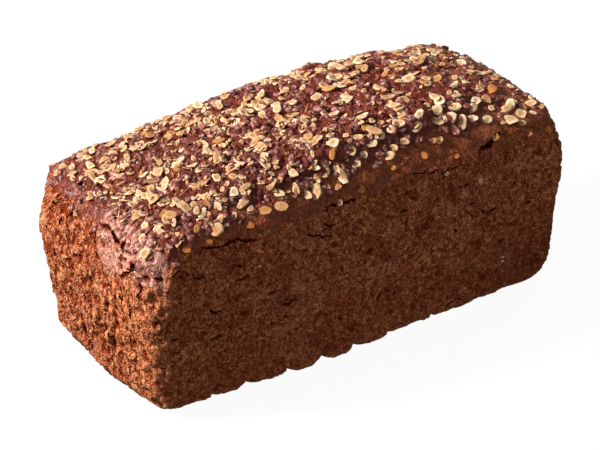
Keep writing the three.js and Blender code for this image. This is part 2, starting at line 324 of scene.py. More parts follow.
# %% Helper for relief
def lumps(detail=2, creased=False):
    """Soft lumps. Creased ones are round on top, with sharp furrows between them."""
    texture = bpy.data.textures.new("lumps", "CLOUDS")
    texture.noise_scale = 1.0
    texture.noise_depth = detail
    texture.noise_type = "HARD_NOISE" if creased else "SOFT_NOISE"
    return texture


def pebbles():
    texture = bpy.data.textures.new("pebbles", "VORONOI")
    texture.noise_scale = 1.0
    return texture


def steepen(texture, black, white):
    """Makes the texture flat below black and above white."""
    texture.use_color_ramp = True
    for stop, position, level in zip(texture.color_ramp.elements, (black, white), (0, 1)):
        stop.position, stop.color = position, (level, level, level, 1)
    return texture


def crackle():
    """Flat uneven plates with narrow gaps between them."""
    texture = pebbles()
    texture.weight_1, texture.weight_2 = -1, 1
    return steepen(texture, 0.04, 0.28)


def holes(share, softness):
    """Flat, with sunk spots over about this share of the surface."""
    return steepen(lumps(detail=1), share, share + softness)


def roughen(piece, texture, size, height, group, stretch=(1, 1, 1), middle=0.5, shift=0.0):
    """Raises and sinks the piece by lumps of this size and height, in mm."""
    let_go()
    bpy.ops.object.empty_add(location=(shift, shift, shift))
    scale_giver = bpy.context.object
    scale_giver.scale = [size * MM * part for part in stretch]
    bpy.context.view_layer.update()
    hold(piece)
    relief = piece.modifiers.new("relief", "DISPLACE")
    relief.texture = texture
    relief.texture_coords = "OBJECT"
    relief.texture_coords_object = scale_giver
    relief.strength = height * MM
    relief.mid_level = middle
    relief.vertex_group = group
    before = read_points(piece)
    bpy.ops.object.modifier_apply(modifier=relief.name)
    moved = np.linalg.norm(read_points(piece) - before, axis=1)
    print("relief of", size, "mm in", group, "moves up to", round(moved.max() / MM, 2), "mm")
    bpy.data.objects.remove(scale_giver)

# %% Coarse lumps
roughen(loaf, lumps(), 15, 2.6, "top")
roughen(loaf, lumps(detail=1), 20, 3.0, "walls", shift=0.3)

# %% Knobs of the top
roughen(loaf, lumps(creased=True), 7, 3.0, "knobs", middle=0.3, shift=0.7)
roughen(loaf, pebbles(), 4.2, -2.2, "knobs", middle=0.35)
roughen(loaf, lumps(creased=True), 2.6, 1.4, "knobs", middle=0.3, shift=0.1)
roughen(loaf, lumps(), 5, 1.2, "top", shift=0.2)

# %% Grain and holes of the walls
roughen(loaf, lumps(creased=True), 9, 1.4, "open_crumb", middle=0.3, shift=0.9)
roughen(loaf, lumps(creased=True), 4, 1.1, "open_crumb", middle=0.3, shift=0.6)
roughen(loaf, holes(0.36, 0.14), 7, 1.1, "walls", middle=1.0, shift=0.4)
roughen(loaf, holes(0.32, 0.14), 3, 0.5, "walls", middle=1.0, shift=0.5)
roughen(loaf, lumps(), 1.6, 0.55, "walls", shift=0.2)
roughen(loaf, lumps(creased=True), 8, 1.4, "ends", (1, 1, 1.7), middle=0.2, shift=0.7)
roughen(loaf, lumps(creased=True), 4, 1.2, "ends", (1, 1, 1.5), middle=0.3, shift=1.1)
roughen(loaf, holes(0.38, 0.1), 3.2, 1.1, "ends", (1, 1, 2.4), middle=0.8, shift=1.3)
roughen(loaf, crackle(), 6, 1.2, "ends", (1, 1, 1.7), middle=0.4, shift=0.8)
roughen(loaf, crackle(), 8, 1.5, "rim_plates", (1, 1, 2.0), middle=0.7, shift=0.4)
print("rough loaf, mm:", np.ptp(read_points(loaf), axis=0) / MM)

# %% [markdown]
# ## Notches along the base
#
# Where the dough didn't quite fill the bottom of the tin, the base edge is a row of rounded lobes with
# short grooves between them. Each groove pushes the points near it inwards.

# %% Notches and lobes
FRONT_NOTCHES = (-110, -80, -61, -39.5, -20, -2, 17.5, 44, 71, 110)
BACK_NOTCHES = (-110, -86, -63, -44, -17, 6, 24, 52, 79, 110)
NOTCH_WIDTH, NOTCH_DEPTH, NOTCH_TOP = 4.6, 2.6, 15
LOBE_SWELL, LOBES_FROM, LOBES_REACH = 2.4, -22, 36


def lobed_edge(points, side, notches):
    """Pushes in the grooves of one long base edge, and swells the lobes between them."""
    at_edge = (side * points[:, 1] > WIDTH / 2 - 26) * (1 - ease(5, NOTCH_TOP, points[:, 2]))
    nearest = np.abs(points[:, :1] - np.array(notches)[None]).min(1)
    groove = np.clip(1 - nearest / (NOTCH_WIDTH / 2), 0, 1) ** 0.8
    bulge = ease(0.5, 7, nearest) * np.exp(-((points[:, 0] - LOBES_FROM) / LOBES_REACH) ** 2)
    push = (bulge * LOBE_SWELL - groove * NOTCH_DEPTH) * at_edge * ease(0.0, 1.5, points[:, 2])
    points += smooth_normals * push[:, None]


points = read_points(loaf) / MM
lobed_edge(points, -1, FRONT_NOTCHES)
lobed_edge(points, 1, BACK_NOTCHES)
points[:, 2] = np.maximum(points[:, 2], 0)
write_points(loaf, points * MM)

# %% [markdown]
# ## Cracks and tears
#
# As the top rose, the crust tore along the rim, and the walls have cracks and short tears. A crack is a
# blade that follows the wall: at each step a ring of four points, wide at the surface and sharp in the
# depth. The rings are bridged into a closed cutter, and later one modifier cuts them all out of the loaf.
# The cut faces keep the material of the cutters, so the inside of a crack is dark, moist crumb.

# %% Places of the larger cracks
FRONT, BACK, LEFT_END, RIGHT_END = "front", "back", "left end", "right end"
OPPOSITE = {FRONT: BACK, LEFT_END: RIGHT_END}
# Wall, width and lip in mm, and the way: along or across, and height, in mm.
CRACKS = (
    (FRONT, 1.7, 0.7, ((-106.5, 82.8), (-100.2, 79.2), (-89.8, 76.5))),
    (FRONT, 1.4, 0.3, ((-113.7, 76), (-106.3, 74.3))),
    (FRONT, 2.0, 0.5, ((-91, 90.6), (-79.1, 87.8), (-69.9, 89.2), (-59, 86.6))),
    (FRONT, 1.6, 0.5, ((-36.2, 79.4), (-30, 77), (-21, 74.7))),
    (FRONT, 2.0, 0.4, ((-24.2, 89.4), (-15, 88.6), (-5.6, 89.2))),
    (FRONT, 1.2, 0.4, ((23.1, 90.3), (31.5, 92.6), (45, 88.4), (53.3, 89.3), (59, 90.0))),
    (FRONT, 3.2, 0.7, ((63.7, 91.2), (68, 93.2), (73, 96.5), (79, 100.5))),
    (LEFT_END, 2.8, 1.0, ((25.2, 88.9), (18, 87.6), (10.6, 87.3))),
    (LEFT_END, 3.2, 1.3, ((-8.8, 96.3), (-21.7, 93.8), (-31.1, 89), (-35.5, 83.4))),
    (LEFT_END, 2.6, 1.0, ((-28.7, 74), (-35, 77.4), (-40.7, 80.8), (-43.5, 87.4))),
    (LEFT_END, 2.2, 0.9, ((-38.5, 80.8), (-45.4, 75.4), (-48.5, 70))),
    (LEFT_END, 5.6, 1.0, ((16.5, 83.5), (14, 86), (11.5, 88.5))),
    (LEFT_END, 1.8, 0.5, ((33, 66), (30, 60), (31, 53))),
    (LEFT_END, 1.6, 0.4, ((4, 60), (1, 51), (3, 44))),
)
print("cracks on each pair of walls:", len(CRACKS))

# %% Helpers for cracks
CRACK_STEP, CRACK_WANDER, CRACK_DEPTH_SHARE = 1.6, 1.1, 1.5
OUTSIDE = 2
LIP_SEARCH, LIP_REACH, LIP_FROM, SINKS_BELOW = 8, 3.2, -0.3, 0.35


def on_wall(tree, wall, along, height):
    """The point of the crust that is nearest to this place of a wall, in mm, and which way it faces."""
    beside, beyond = WIDTH / 2 + OUTSIDE, LENGTH / 2 + OUTSIDE
    outside = {FRONT: (along, -beside, height), BACK: (along, beside, height),
               LEFT_END: (-beyond, along, height), RIGHT_END: (beyond, along, height)}[wall]
    place, facing = tree.find_nearest(Vector(outside) * MM)[:2]
    return place / MM, facing


def wandering(points, draw):
    """The points of a crack with small steps and a shaky hand."""
    way = []
    for start, end in zip(points, points[1:]):
        steps = max(2, round(math.dist(start, end) / CRACK_STEP))
        way += [Vector(start).lerp(Vector(end), step / steps) for step in range(steps)]
    way.append(Vector(points[-1]))
    return [p + Vector((draw.uniform(-1, 1), draw.uniform(-1, 1))) * CRACK_WANDER / 2 for p in way]


def lift_lip(places, lip):
    """The crust above a crack stands out a little over it, and sinks in a little below it."""
    points, normals = read_points(loaf) / MM, read_normals(loaf)
    steps = np.array([tuple(place) for place in places])
    near = np.nonzero((np.abs(points - steps.mean(0)) < np.ptp(steps, axis=0) / 2 + LIP_SEARCH).all(1))[0]
    offset = points[near][:, None] - steps[None]
    distance = np.linalg.norm(offset, axis=2)
    above = offset[np.arange(len(near)), distance.argmin(1), 2]
    lift = np.where(above > LIP_FROM, lip, -SINKS_BELOW * lip) * np.exp(-(distance.min(1) / LIP_REACH) ** 2)
    points[near] += normals[near] * lift[:, None]
    write_points(loaf, points * MM)


def cut_crack(tree, wall, width, way):
    """A closed blade that follows the crack."""
    spots = [on_wall(tree, wall, *place) for place in way]
    corners = []
    for index, (place, facing) in enumerate(spots):
        ahead = spots[min(index + 1, len(spots) - 1)][0] - spots[max(index - 1, 0)][0]
        across = ahead.cross(facing).normalized()
        swell = abs(math.sin(math.pi * index / (len(spots) - 1))) ** 0.5
        half = width / 2 * (0.2 + 0.8 * swell) * draw.uniform(0.6, 1.3)
        depth = 2 * half * CRACK_DEPTH_SHARE
        corners += [place + facing, place + across * half, place - facing * depth, place - across * half]
    last = len(corners) - 4
    rings = [(first + turn, first + (turn + 1) % 4, first + 4 + (turn + 1) % 4, first + 4 + turn)
             for first in range(0, last, 4) for turn in range(4)]
    caps = [(3, 2, 1, 0), tuple(range(last, last + 4))]
    crack = new_piece("crack", [corner * MM for corner in corners], rings + caps)
    hold(crack)
    bpy.ops.object.mode_set(mode="EDIT")
    bpy.ops.mesh.select_all(action="SELECT")
    bpy.ops.mesh.normals_make_consistent(inside=False)
    bpy.ops.object.mode_set(mode="OBJECT")
    return crack

# %% Larger cracks
# The opposite wall gets each crack too: moved along, turned round and a little lower.
OPPOSITE_SHIFT, OPPOSITE_TURN, OPPOSITE_LOWER = 8, -0.9, 1.5

draw = random.Random(7)
cutters = []
for wall, width, lip, points in CRACKS:
    for side in (wall, OPPOSITE[wall]):
        if side != wall:
            points = [(OPPOSITE_SHIFT + OPPOSITE_TURN * along, height - OPPOSITE_LOWER)
                      for along, height in points]
        tree = surface_of(loaf)
        way = wandering(points, draw)
        lift_lip([on_wall(tree, side, *place)[0] for place in way], lip)
        cutters.append(cut_crack(surface_of(loaf), side, width, way))
print("cracks:", len(cutters))

# %% Short tears
TEARS = {FRONT: 30, BACK: 30, LEFT_END: 64, RIGHT_END: 64}
TEAR_LENGTH, TEAR_WIDTH, TEAR_HEIGHT = (2.5, 8), (0.8, 2.0), (8, 84)
TEAR_MARGIN, TEAR_LEAN = 12, 0.6

tree = surface_of(loaf)
for wall, count in TEARS.items():
    half_wall = (LENGTH if wall in (FRONT, BACK) else WIDTH) / 2 - TEAR_MARGIN
    for _ in range(count):
        lean = draw.uniform(-TEAR_LEAN, TEAR_LEAN) + (0 if wall in (FRONT, BACK) else math.pi / 2)
        start = Vector((draw.uniform(-half_wall, half_wall), draw.uniform(*TEAR_HEIGHT)))
        end = start + Vector((math.cos(lean), math.sin(lean))) * draw.uniform(*TEAR_LENGTH)
        cutters.append(cut_crack(tree, wall, draw.uniform(*TEAR_WIDTH), wandering((start, end), draw)))
print("cutters:", len(cutters))

# %% [markdown]
# ## Numbers on the points, then the cuts
#
# The material has to know how deep a point of the crust lies and which part of the loaf it belongs to.
# Both are stored on the points before the cuts are made, because the cuts add points of their own.

# %% Numbers for the material
def add_number(piece, name, values):
    """Stores a number for every point of the piece, which a material can read."""
    attribute = piece.data.attributes.new(name, "FLOAT", "POINT")
    attribute.data.foreach_set("value", np.ascontiguousarray(values, dtype=np.float32))


def above_smoothed(piece, rounds):
    """How far each point stands above a smoothed copy of the piece, in mm."""
    points, normals = read_points(piece), read_normals(piece)
    hold(piece)
    bpy.ops.object.duplicate()
    copy = bpy.context.object
    smoothing = copy.modifiers.new("smoothing", "SMOOTH")
    smoothing.factor, smoothing.iterations = 0.5, rounds
    bpy.ops.object.modifier_apply(modifier=smoothing.name)
    height = ((points - read_points(copy)) * normals).sum(1) / MM
    bpy.data.objects.remove(copy)
    return height


numbers = {"relief": above_smoothed(loaf, 8), "broad_relief": above_smoothed(loaf, 50), "top_share": top,
           "end_share": ends, "plate_share": rim_plates, "pale_share": pale_corner,
           "smoothness": smooth_crust * top, "faces_up": smooth_normals[:, 2]}
for name, values in numbers.items():
    add_number(loaf, name, values)
    print(name, np.percentile(values, (5, 50, 95)).round(2))

# %% Make the cuts
inside_crumb = bpy.data.materials.new("moist_crumb")
crust_finish = bpy.data.materials.new("rye_crust")
loaf.data.materials.append(crust_finish)
cutting = bpy.data.collections.new("cutters")
bpy.context.scene.collection.children.link(cutting)
for cutter in cutters:
    cutter.data.materials.append(crust_finish)
    cutter.data.materials.append(inside_crumb)
    for face in cutter.data.polygons:
        face.material_index = 1
    for holder in list(cutter.users_collection):
        holder.objects.unlink(cutter)
    cutting.objects.link(cutter)

hold(loaf)
cuts = loaf.modifiers.new("cuts", "BOOLEAN")
cuts.operation = "DIFFERENCE"
cuts.operand_type = "COLLECTION"
cuts.collection = cutting
cuts.solver = "MANIFOLD"
loaf.data.materials.append(inside_crumb)
bpy.ops.object.modifier_apply(modifier=cuts.name)
for cutter in cutters:
    bpy.data.objects.remove(cutter)
bpy.data.collections.remove(cutting)
print("faces:", len(loaf.data.polygons), "cut:", sum(face.material_index for face in loaf.data.polygons))

# %% [markdown]
# ## A plainer base
#
# The base is flat and isn't seen, so its small faces are dissolved into one. The faces it saves are worth
# more elsewhere, and the loaf stays closed.

# %% Thin the base
hold(loaf)
bpy.ops.object.mode_set(mode="EDIT")
pick(loaf, "FACE", lambda face: face.calc_center_median().z < 0.02 * MM and face.normal.z < -0.99)
bpy.ops.mesh.dissolve_limited(angle_limit=math.radians(1))
bpy.ops.object.mode_set(mode="OBJECT")
bpy.ops.object.shade_smooth_by_angle(angle=math.radians(60))
triangles = sum(len(face.vertices) - 2 for face in loaf.data.polygons)
print("loaf triangles:", triangles)
assert triangles < 200_000

# %% [markdown]
# ## Colours and a helper for nodes
#
# Every colour is written as a hex value, as a paint program shows it, and one function turns it into the
# linear numbers that the shader needs. One small function adds a node with its settings and its links.
# The finishes below are made of two things: grain of a real size, and thin layers of colour that show
# where a pattern is high or low.

# %% Helpers for materials
def paint(hex_colour):
    """An sRGB hex colour as linear red, green, blue and alpha."""
    shares = [int(hex_colour[i:i + 2], 16) / 255 for i in (1, 3, 5)]
    return (*[s / 12.92 if s <= 0.04045 else ((s + 0.055) / 1.055) ** 2.4 for s in shares], 1)


def node(tree, kind, settings=None, **inputs):
    """Adds a node. Settings are its own; inputs are numbers, hex colours or sockets of other nodes."""
    made = tree.nodes.new("ShaderNode" + kind)
    for name, value in (settings or {}).items():
        setattr(made, name, value)
    for name, value in inputs.items():
        socket = made.inputs[int(name[1:]) if name[1:].isdigit() else name.replace("_", " ")]
        if isinstance(value, bpy.types.NodeSocket):
            tree.links.new(value, socket)
        else:
            socket.default_value = paint(value) if isinstance(value, str) else value
    return made


def blank_material(material):
    material.use_nodes = True
    material.node_tree.nodes.clear()
    return material.node_tree

# %% Helpers for grain and layers of colour
def grain(tree, place, size, detail=3, stretch=(1, 1, 1)):
    """A pattern whose grains are this many mm across."""
    scaled = node(tree, "Mapping", None, Vector=place, Scale=[1 / (size * MM * part) for part in stretch])
    return node(tree, "TexNoise", None, Vector=scaled.outputs[0], Scale=1.0, Detail=detail).outputs[0]


def layered(tree, colour, *layers, how="MIX"):
    """Adds layers: a pattern, where the layer starts and is full, its largest share and its colour."""
    for pattern, starts, full, share, over in layers:
        shown = node(tree, "MapRange", {"interpolation_type": "SMOOTHSTEP"}, Value=pattern, From_Min=starts,
                     From_Max=full, To_Min=0, To_Max=share).outputs[0]
        mixed = node(tree, "Mix", {"data_type": "RGBA", "blend_type": how}, _0=shown, _6=colour, _7=over)
        colour = mixed.outputs[2]
    return colour

# %% [markdown]
# ## Baked rye crust
#
# The wall of a tin loaf is dry, matt and open: grains of coarse rye in a brown crumb. Where they stand out
# they are painted paler, a painted highlight, and every hollow is painted dark, a painted shade. The free
# top baked darker and closed over, so it is plum brown with a soft gloss. The numbers stored on the points
# say what is top and how deep a point lies, and noise in real sizes does the rest: clumps with creases
# between them, and on the ends also narrow gaps and short upright slots, all painted dark as painted shade.

# %% Patterns of the crust
def creases(tree, place, size):
    """0 in the furrows between uneven clumps of this size in mm, and up to about 0.3 on them."""
    centred = node(tree, "Math", {"operation": "SUBTRACT"}, _0=grain(tree, place, size), _1=0.5).outputs[0]
    return node(tree, "Math", {"operation": "ABSOLUTE"}, _0=centred).outputs[0]


def gaps(tree, place, size, stretch, wander):
    """0 in the narrow gaps between clumps of this size in mm, whose borders wander by this many mm."""
    waves = node(tree, "Mapping", None, Vector=place, Scale=[1 / (size * MM)] * 3)
    push = node(tree, "TexNoise", None, Vector=waves.outputs[0], Scale=2.0, Detail=3).outputs["Color"]
    push = node(tree, "VectorMath", {"operation": "SUBTRACT"}, _0=push, _1=(0.5, 0.5, 0.5)).outputs[0]
    push = node(tree, "VectorMath", {"operation": "SCALE"}, _0=push, Scale=2 * wander * MM).outputs[0]
    moved = node(tree, "VectorMath", {"operation": "ADD"}, _0=place, _1=push).outputs[0]
    scaled = node(tree, "Mapping", None, Vector=moved, Scale=[1 / (size * MM * part) for part in stretch])
    cells = node(tree, "TexVoronoi", {"feature": "DISTANCE_TO_EDGE"}, Vector=scaled.outputs[0], Scale=1.0)
    return cells.outputs["Distance"]


def crust_patterns(tree, place):
    """The numbers of the crust's points, and its patterns from coarse to fine."""
    crust = SimpleNamespace()
    for name in numbers:
        setattr(crust, name, node(tree, "Attribute", {"attribute_name": name}).outputs["Fac"])
    crust.region = grain(tree, place, 30, 2)
    crust.broad = grain(tree, place, 14, 2)
    crust.patch = grain(tree, place, 5)
    crust.gap = gaps(tree, place, 4.6, (1, 1, 1.6), 3)
    crust.crease = creases(tree, place, 3.2)
    crust.slot = grain(tree, place, 2.1, 2, (1, 1, 2.8))
    crust.speck = grain(tree, place, 1.9, 4)
    crust.fine = grain(tree, place, 0.6)
    crust.along, _, crust.height = node(tree, "SeparateXYZ", None, _0=place).outputs
    return crust


def add_strengths(tree, crust):
    """How strong colours, roughness, gloss and bumps are, from a first to a second value as a share rises."""
    strengths = (
        ("on_end", crust.end_share, 0, 1, 0.42, 0.9),
        ("right_half", crust.along, 0.02, 0.11, 0, 0.6),
        ("roughness", crust.top_share, 0, 1, 0.85, 0.5),
        ("gloss", crust.top_share, 0.3, 1, 0, 0.2),
        ("clump_bump", crust.smoothness, 0, 0.6, 1, 0.25),
        ("speck_bump", crust.smoothness, 0, 0.6, 0.9, 0.25),
        ("fine_bump", crust.smoothness, 0, 0.6, 0.7, 0.1))
    for name, share, low_end, high_end, first, second in strengths:
        strength = node(tree, "MapRange", {"interpolation_type": "SMOOTHSTEP"}, Value=share, From_Min=low_end,
                        From_Max=high_end, To_Min=first, To_Max=second)
        setattr(crust, name, strength.outputs[0])

# %% Colours of the crust
def painted_darker_left(tree, place, colour):
    """Painted shade: a little darker towards the left end of the top, where the lamp lights most."""
    along = node(tree, "SeparateXYZ", None, _0=place).outputs[0]
    return layered(tree, colour, (along, 0.02, -0.09, 0.3, "#B8B0A8"), how="MULTIPLY")


def wall_colour(tree, crust):
    """Coarse grain, with painted shade in hollows and along the base, most of all at the foot of its right
    half, and a painted highlight on raised parts.
    """
    return layered(
        tree, "#924424",
        (crust.speck, 0.38, 0.62, 1, "#D68E5C"),
        (crust.region, 0.45, 0.65, 0.45, "#C88262"),
        (crust.patch, 0.5, 0.66, 0.6, "#B25426"),
        (crust.broad, 0.52, 0.36, 0.5, "#8C3C18"),
        (crust.patch, 0.43, 0.34, 0.5, "#6A2810"),
        (crust.fine, 0.55, 0.64, 0.6, "#EEB48C"),
        (crust.fine, 0.46, 0.36, 0.8, "#621C06"),
        (crust.pale_share, 0, 1, 0.62, "#D08658"),
        # Painted shade in the creases and in the narrow gaps between clumps.
        (crust.crease, 0.045, 0, 0.65, "#7A2408"),
        (crust.gap, 0.13, 0.02, crust.on_end, "#641A04"),
        # Painted shade: darker towards the base, most of all at the foot of the right half.
        (crust.height, 0.045, 0, 0.3, "#7A3418"),
        (crust.height, 0.07, 0.01, crust.right_half, "#6A2E16"),
        # Painted shade in the upright slots, a painted highlight on raised parts, and painted shade in
        # hollows.
        (crust.slot, 0.41, 0.34, crust.on_end, "#5C1804"),
        (crust.relief, 0.1, 0.5, 0.35, "#DE9A70"),
        (crust.relief, -0.08, -0.5, 0.75, "#7A2407"),
        (crust.broad_relief, -0.3, -1.3, 0.75, "#702006"))


def top_colour(tree, place, crust):
    """Plum brown, paler where smooth; painted highlight on lumps, painted shade in hollows, painted light by
    facing.
    """
    plum = layered(
        tree, "#602012",
        (crust.speck, 0.35, 0.65, 1, "#844638"),
        (crust.patch, 0.5, 0.7, 0.7, "#80382A"),
        # Painted highlight on the lumps, and painted shade in the hollows.
        (crust.relief, 0.2, 0.8, 0.6, "#B08880"),
        (crust.relief, 0, -0.6, 0.85, "#5E1C08"),
        # Painted light: the plum is lighter where the top turns down, away from the lamp.
        (crust.faces_up, 0.97, 0.75, 0.4, "#8A4A3E"))
    skin = layered(
        tree, "#8E4C36",
        (crust.broad, 0.35, 0.65, 1, "#A4664A"),
        # Painted shade where the skin turns down, away from the lamp.
        (crust.faces_up, 0.92, 0.72, 1, "#84462A"),
        (crust.fine, 0.56, 0.66, 0.45, "#BE8260"),
        (crust.speck, 0.52, 0.36, 0.65, "#5A200C"),
        # Painted shade in the hollows.
        (crust.relief, -0.05, -0.4, 0.7, "#52200E"))
    # The plum is painted darker towards the left end, as painted shade against the lamp.
    return layered(tree, painted_darker_left(tree, place, plum), (crust.smoothness, 0.3, 0.7, 1, skin))


def painted_plate_sheen(tree, crust):
    """The plates under the rims, painted pale as a painted sheen, with painted shade in the gaps between
    them.
    """
    return layered(
        tree, "#A2634E",
        (crust.speck, 0.4, 0.6, 1, "#D2A292"),
        (crust.relief, 0, -0.5, 1, "#5A1806"))

# %% Materials: rye crust and moist crumb
def crust_bumps(tree, crust):
    """Slots, clumps, specks and fine grain on each other. The last three are weaker on smooth crust."""
    torn = node(tree, "Math", {"operation": "MINIMUM"}, _0=crust.slot, _1=0.46).outputs[0]
    clumps = node(tree, "Math", {"operation": "MINIMUM"}, _0=crust.crease, _1=0.1).outputs[0]
    layers = ((torn, 6, crust.on_end), (clumps, 6, crust.clump_bump), (crust.speck, 0.6, crust.speck_bump),
              (crust.fine, 0.2, crust.fine_bump))
    below = {}
    for pattern, height, strength in layers:
        bumps = node(tree, "Bump", None, Strength=strength, Distance=height * MM, Height=pattern, **below)
        below = {"Normal": bumps.outputs[0]}
    return below["Normal"]


def make_rye_crust(material):
    tree = blank_material(material)
    place = node(tree, "TexCoord").outputs["Object"]
    crust = crust_patterns(tree, place)
    add_strengths(tree, crust)
    wall, top = wall_colour(tree, crust), top_colour(tree, place, crust)
    colour = node(tree, "Mix", {"data_type": "RGBA"}, _0=crust.top_share, _6=wall, _7=top).outputs[2]
    # The plates under the rims get their painted sheen.
    colour = layered(tree, colour, (crust.plate_share, 0.2, 0.8, 0.85, painted_plate_sheen(tree, crust)))
    skin = node(tree, "BsdfPrincipled", None, Base_Color=colour, Roughness=crust.roughness, IOR=1.45,
                Specular_IOR_Level=0.03, Coat_Weight=crust.gloss, Coat_Roughness=0.35,
                Normal=crust_bumps(tree, crust))
    node(tree, "OutputMaterial", None, Surface=skin.outputs[0])


def make_moist_crumb(material):
    tree = blank_material(material)
    place = node(tree, "TexCoord").outputs["Object"]
    speck = grain(tree, place, 1.2)
    colour = node(tree, "Mix", {"data_type": "RGBA"}, _0=speck, _6="#4C1606", _7="#702A12").outputs[2]
    rough = node(tree, "Bump", None, Strength=0.7, Distance=0.4 * MM, Height=speck)
    skin = node(tree, "BsdfPrincipled", None, Base_Color=colour, Roughness=0.85, IOR=1.45,
                Specular_IOR_Level=0.1, Normal=rough.outputs[0])
    node(tree, "OutputMaterial", None, Surface=skin.outputs[0])


make_rye_crust(crust_finish)
make_moist_crumb(inside_crumb)
print("nodes of the crust:", len(crust_finish.node_tree.nodes))

# %% [markdown]
# ## Rolled oats, bran and crust knobs
#
# A rolled oat is a steamed kernel pressed flat: an uneven disc with a split rim, thicker in the middle,
# often with the crease of the kernel along it, and it curls when it bakes. A few different flakes are
# modelled one by one with few faces, because they are sown by the hundred. A disc is extruded, its top
# inset twice, and the rings are then moved and turned.

# %% Helpers for models
RIM_POINTS = 12


def start_disc(sunk):
    """A flat disc with rounded edges, and a middle that is sunk by this much."""
    let_go()
    bpy.ops.mesh.primitive_circle_add(vertices=RIM_POINTS, radius=0.5, fill_type="NGON")
    disc = bpy.context.object
    bpy.ops.object.mode_set(mode="EDIT")
    bpy.ops.mesh.select_all(action="SELECT")
    bpy.ops.mesh.extrude_region_move(TRANSFORM_OT_translate={"value": (0, 0, 0.17)})
    bpy.ops.mesh.inset(thickness=0.1, depth=0.08)
    bpy.ops.mesh.inset(thickness=0.2, depth=-sunk)
    return disc


def move_picked(piece, wanted, move=(0, 0, 0), size=(1, 1, 1)):
    """In edit mode, moves and scales the points for which wanted() is true."""
    pick(piece, "VERT", lambda point: wanted(point.co))
    bpy.ops.transform.translate(value=move)
    bpy.ops.transform.resize(value=size, center_override=(0, 0, 0))


def rim_number(place):
    return round(math.atan2(place.y, place.x) / (2 * math.pi) * RIM_POINTS) % RIM_POINTS


def end_model(piece):
    """Keeps only the model's points and faces."""
    bpy.ops.object.mode_set(mode="OBJECT")
    points = read_points(piece)
    faces = [tuple(face.vertices) for face in piece.data.polygons]
    bpy.data.objects.remove(piece)
    return points, faces

# %% Flake models
def split_disc():
    """Round, dished, with a rim split in a few places."""
    disc = start_disc(0.02)
    for spot, pull in ((0, 0.84), (3, 0.82), (4, 1.04), (8, 0.88)):
        move_picked(disc, lambda p: rim_number(p) == spot and p.xy.length > 0.3, size=(pull, pull, 1))
    move_picked(disc, lambda p: p.xy.length < 0.3 and p.z > 0.05, move=(0, 0, -0.04))
    move_picked(disc, lambda p: p.xy.length > 0.3 and p.y > 0.2, move=(0, 0, 0.07))
    return end_model(disc)


def creased_oval():
    """Long, with the crease of the kernel down the middle."""
    disc = start_disc(0.0)
    move_picked(disc, lambda p: True, size=(1.22, 0.88, 1))
    move_picked(disc, lambda p: abs(p.y) < 0.06 and p.z > 0.05, move=(0, 0, -0.08))
    move_picked(disc, lambda p: abs(p.x) > 0.5, move=(0, 0, 0.08))
    return end_model(disc)


def curled_disc():
    """Folded up along one side."""
    disc = start_disc(0.05)
    move_picked(disc, lambda p: p.y > 0.1, move=(0, -0.03, 0.08))
    move_picked(disc, lambda p: p.y > 0.35, move=(0, -0.04, 0.08))
    move_picked(disc, lambda p: rim_number(p) in (6, 9), size=(0.88, 0.88, 1))
    return end_model(disc)


def broken_half():
    """A flake that broke in the bag, with a ragged edge."""
    disc = start_disc(0.0)
    move_picked(disc, lambda p: p.x > 0.1, size=(0.12, 1, 1))
    move_picked(disc, lambda p: p.x > 0 and p.y > 0.2, move=(0.1, 0, 0.02))
    move_picked(disc, lambda p: p.x < -0.35, move=(0, 0, 0.08))
    return end_model(disc)

# %% Knob models
def lump_of_crust(seed):
    """A knob of dough and bran."""
    let_go()
    bpy.ops.mesh.primitive_cube_add(size=0.66)
    lump = bpy.context.object
    bpy.ops.object.mode_set(mode="EDIT")
    bpy.ops.mesh.select_all(action="SELECT")
    bpy.ops.mesh.subdivide(number_cuts=1)
    bpy.ops.transform.tosphere(value=0.75)
    bpy.ops.transform.vertex_random(offset=0.11, seed=seed)
    return end_model(lump)


WHOLE_FLAKES = [split_disc(), creased_oval(), curled_disc(), creased_oval()]
BROKEN_FLAKES = [broken_half(), curled_disc(), split_disc()]
LUMPS = [lump_of_crust(seed) for seed in range(1, 6)]
print("faces of the models:", [len(faces) for _, faces in WHOLE_FLAKES + BROKEN_FLAKES + LUMPS])

# %% [markdown]
# ## Where things lie
#
# Oats, bran and knobs aren't spread evenly. The band along the near shoulder and the rim of the left end
# are bare, there are fewer in the middle and to the right, and the flakes lie in loose clumps. Each
# function gives a share from 0 to 1 for a place of the top, in mm.

# %% Shares of places on the top
def to_the_right(along):
    return float(ease(-60, 80, along))


def near_edge(across):
    return float(1 - ease(-42, -26, across))


def near_band(along, across):
    """1 on the bare band of the near shoulder."""
    edge = -48 + 4 * to_the_right(along)
    return float(1 - ease(edge - 3, edge + 3, across + 3 * noise.noise(Vector((along / 12, 0.3, 0)))))


def left_rim(along, across):
    """1 on the rim of the left end."""
    return float(1 - ease(-114, -106, along + 5 * noise.noise(Vector((across / 10, 4.2, 0)))))


def near_corner(along, across):
    """1 at the near corner of the left end, where the plates of the rim show."""
    return float((1 - ease(-110, -98, along)) * (1 - ease(-44, -28, across)))


def beside_left_rim(along, across):
    """1 along the left end, just inside its rim, except near its near corner."""
    return float(ease(-114, -112, along) * (1 - ease(-108, -96, along)) * ease(-38, -18, across))


def sown(along, across, fewer_right):
    """1 where the top isn't bare, and fewer to the right by this share."""
    bare = max(near_band(along, across), left_rim(along, across))
    return (1 - bare) * (1 - fewer_right * to_the_right(along))


def fewer_in_the_middle(along, across):
    return 1 - 0.65 * math.exp(-((along - 10) / 42) ** 2 - (across / 24) ** 2)


def clumped(along, across, size, shift):
    """How likely pieces lie here, when they lie in clumps of this size."""
    return float(ease(-0.25, 0.25, noise.noise(Vector((along / size, across / size, shift)))))

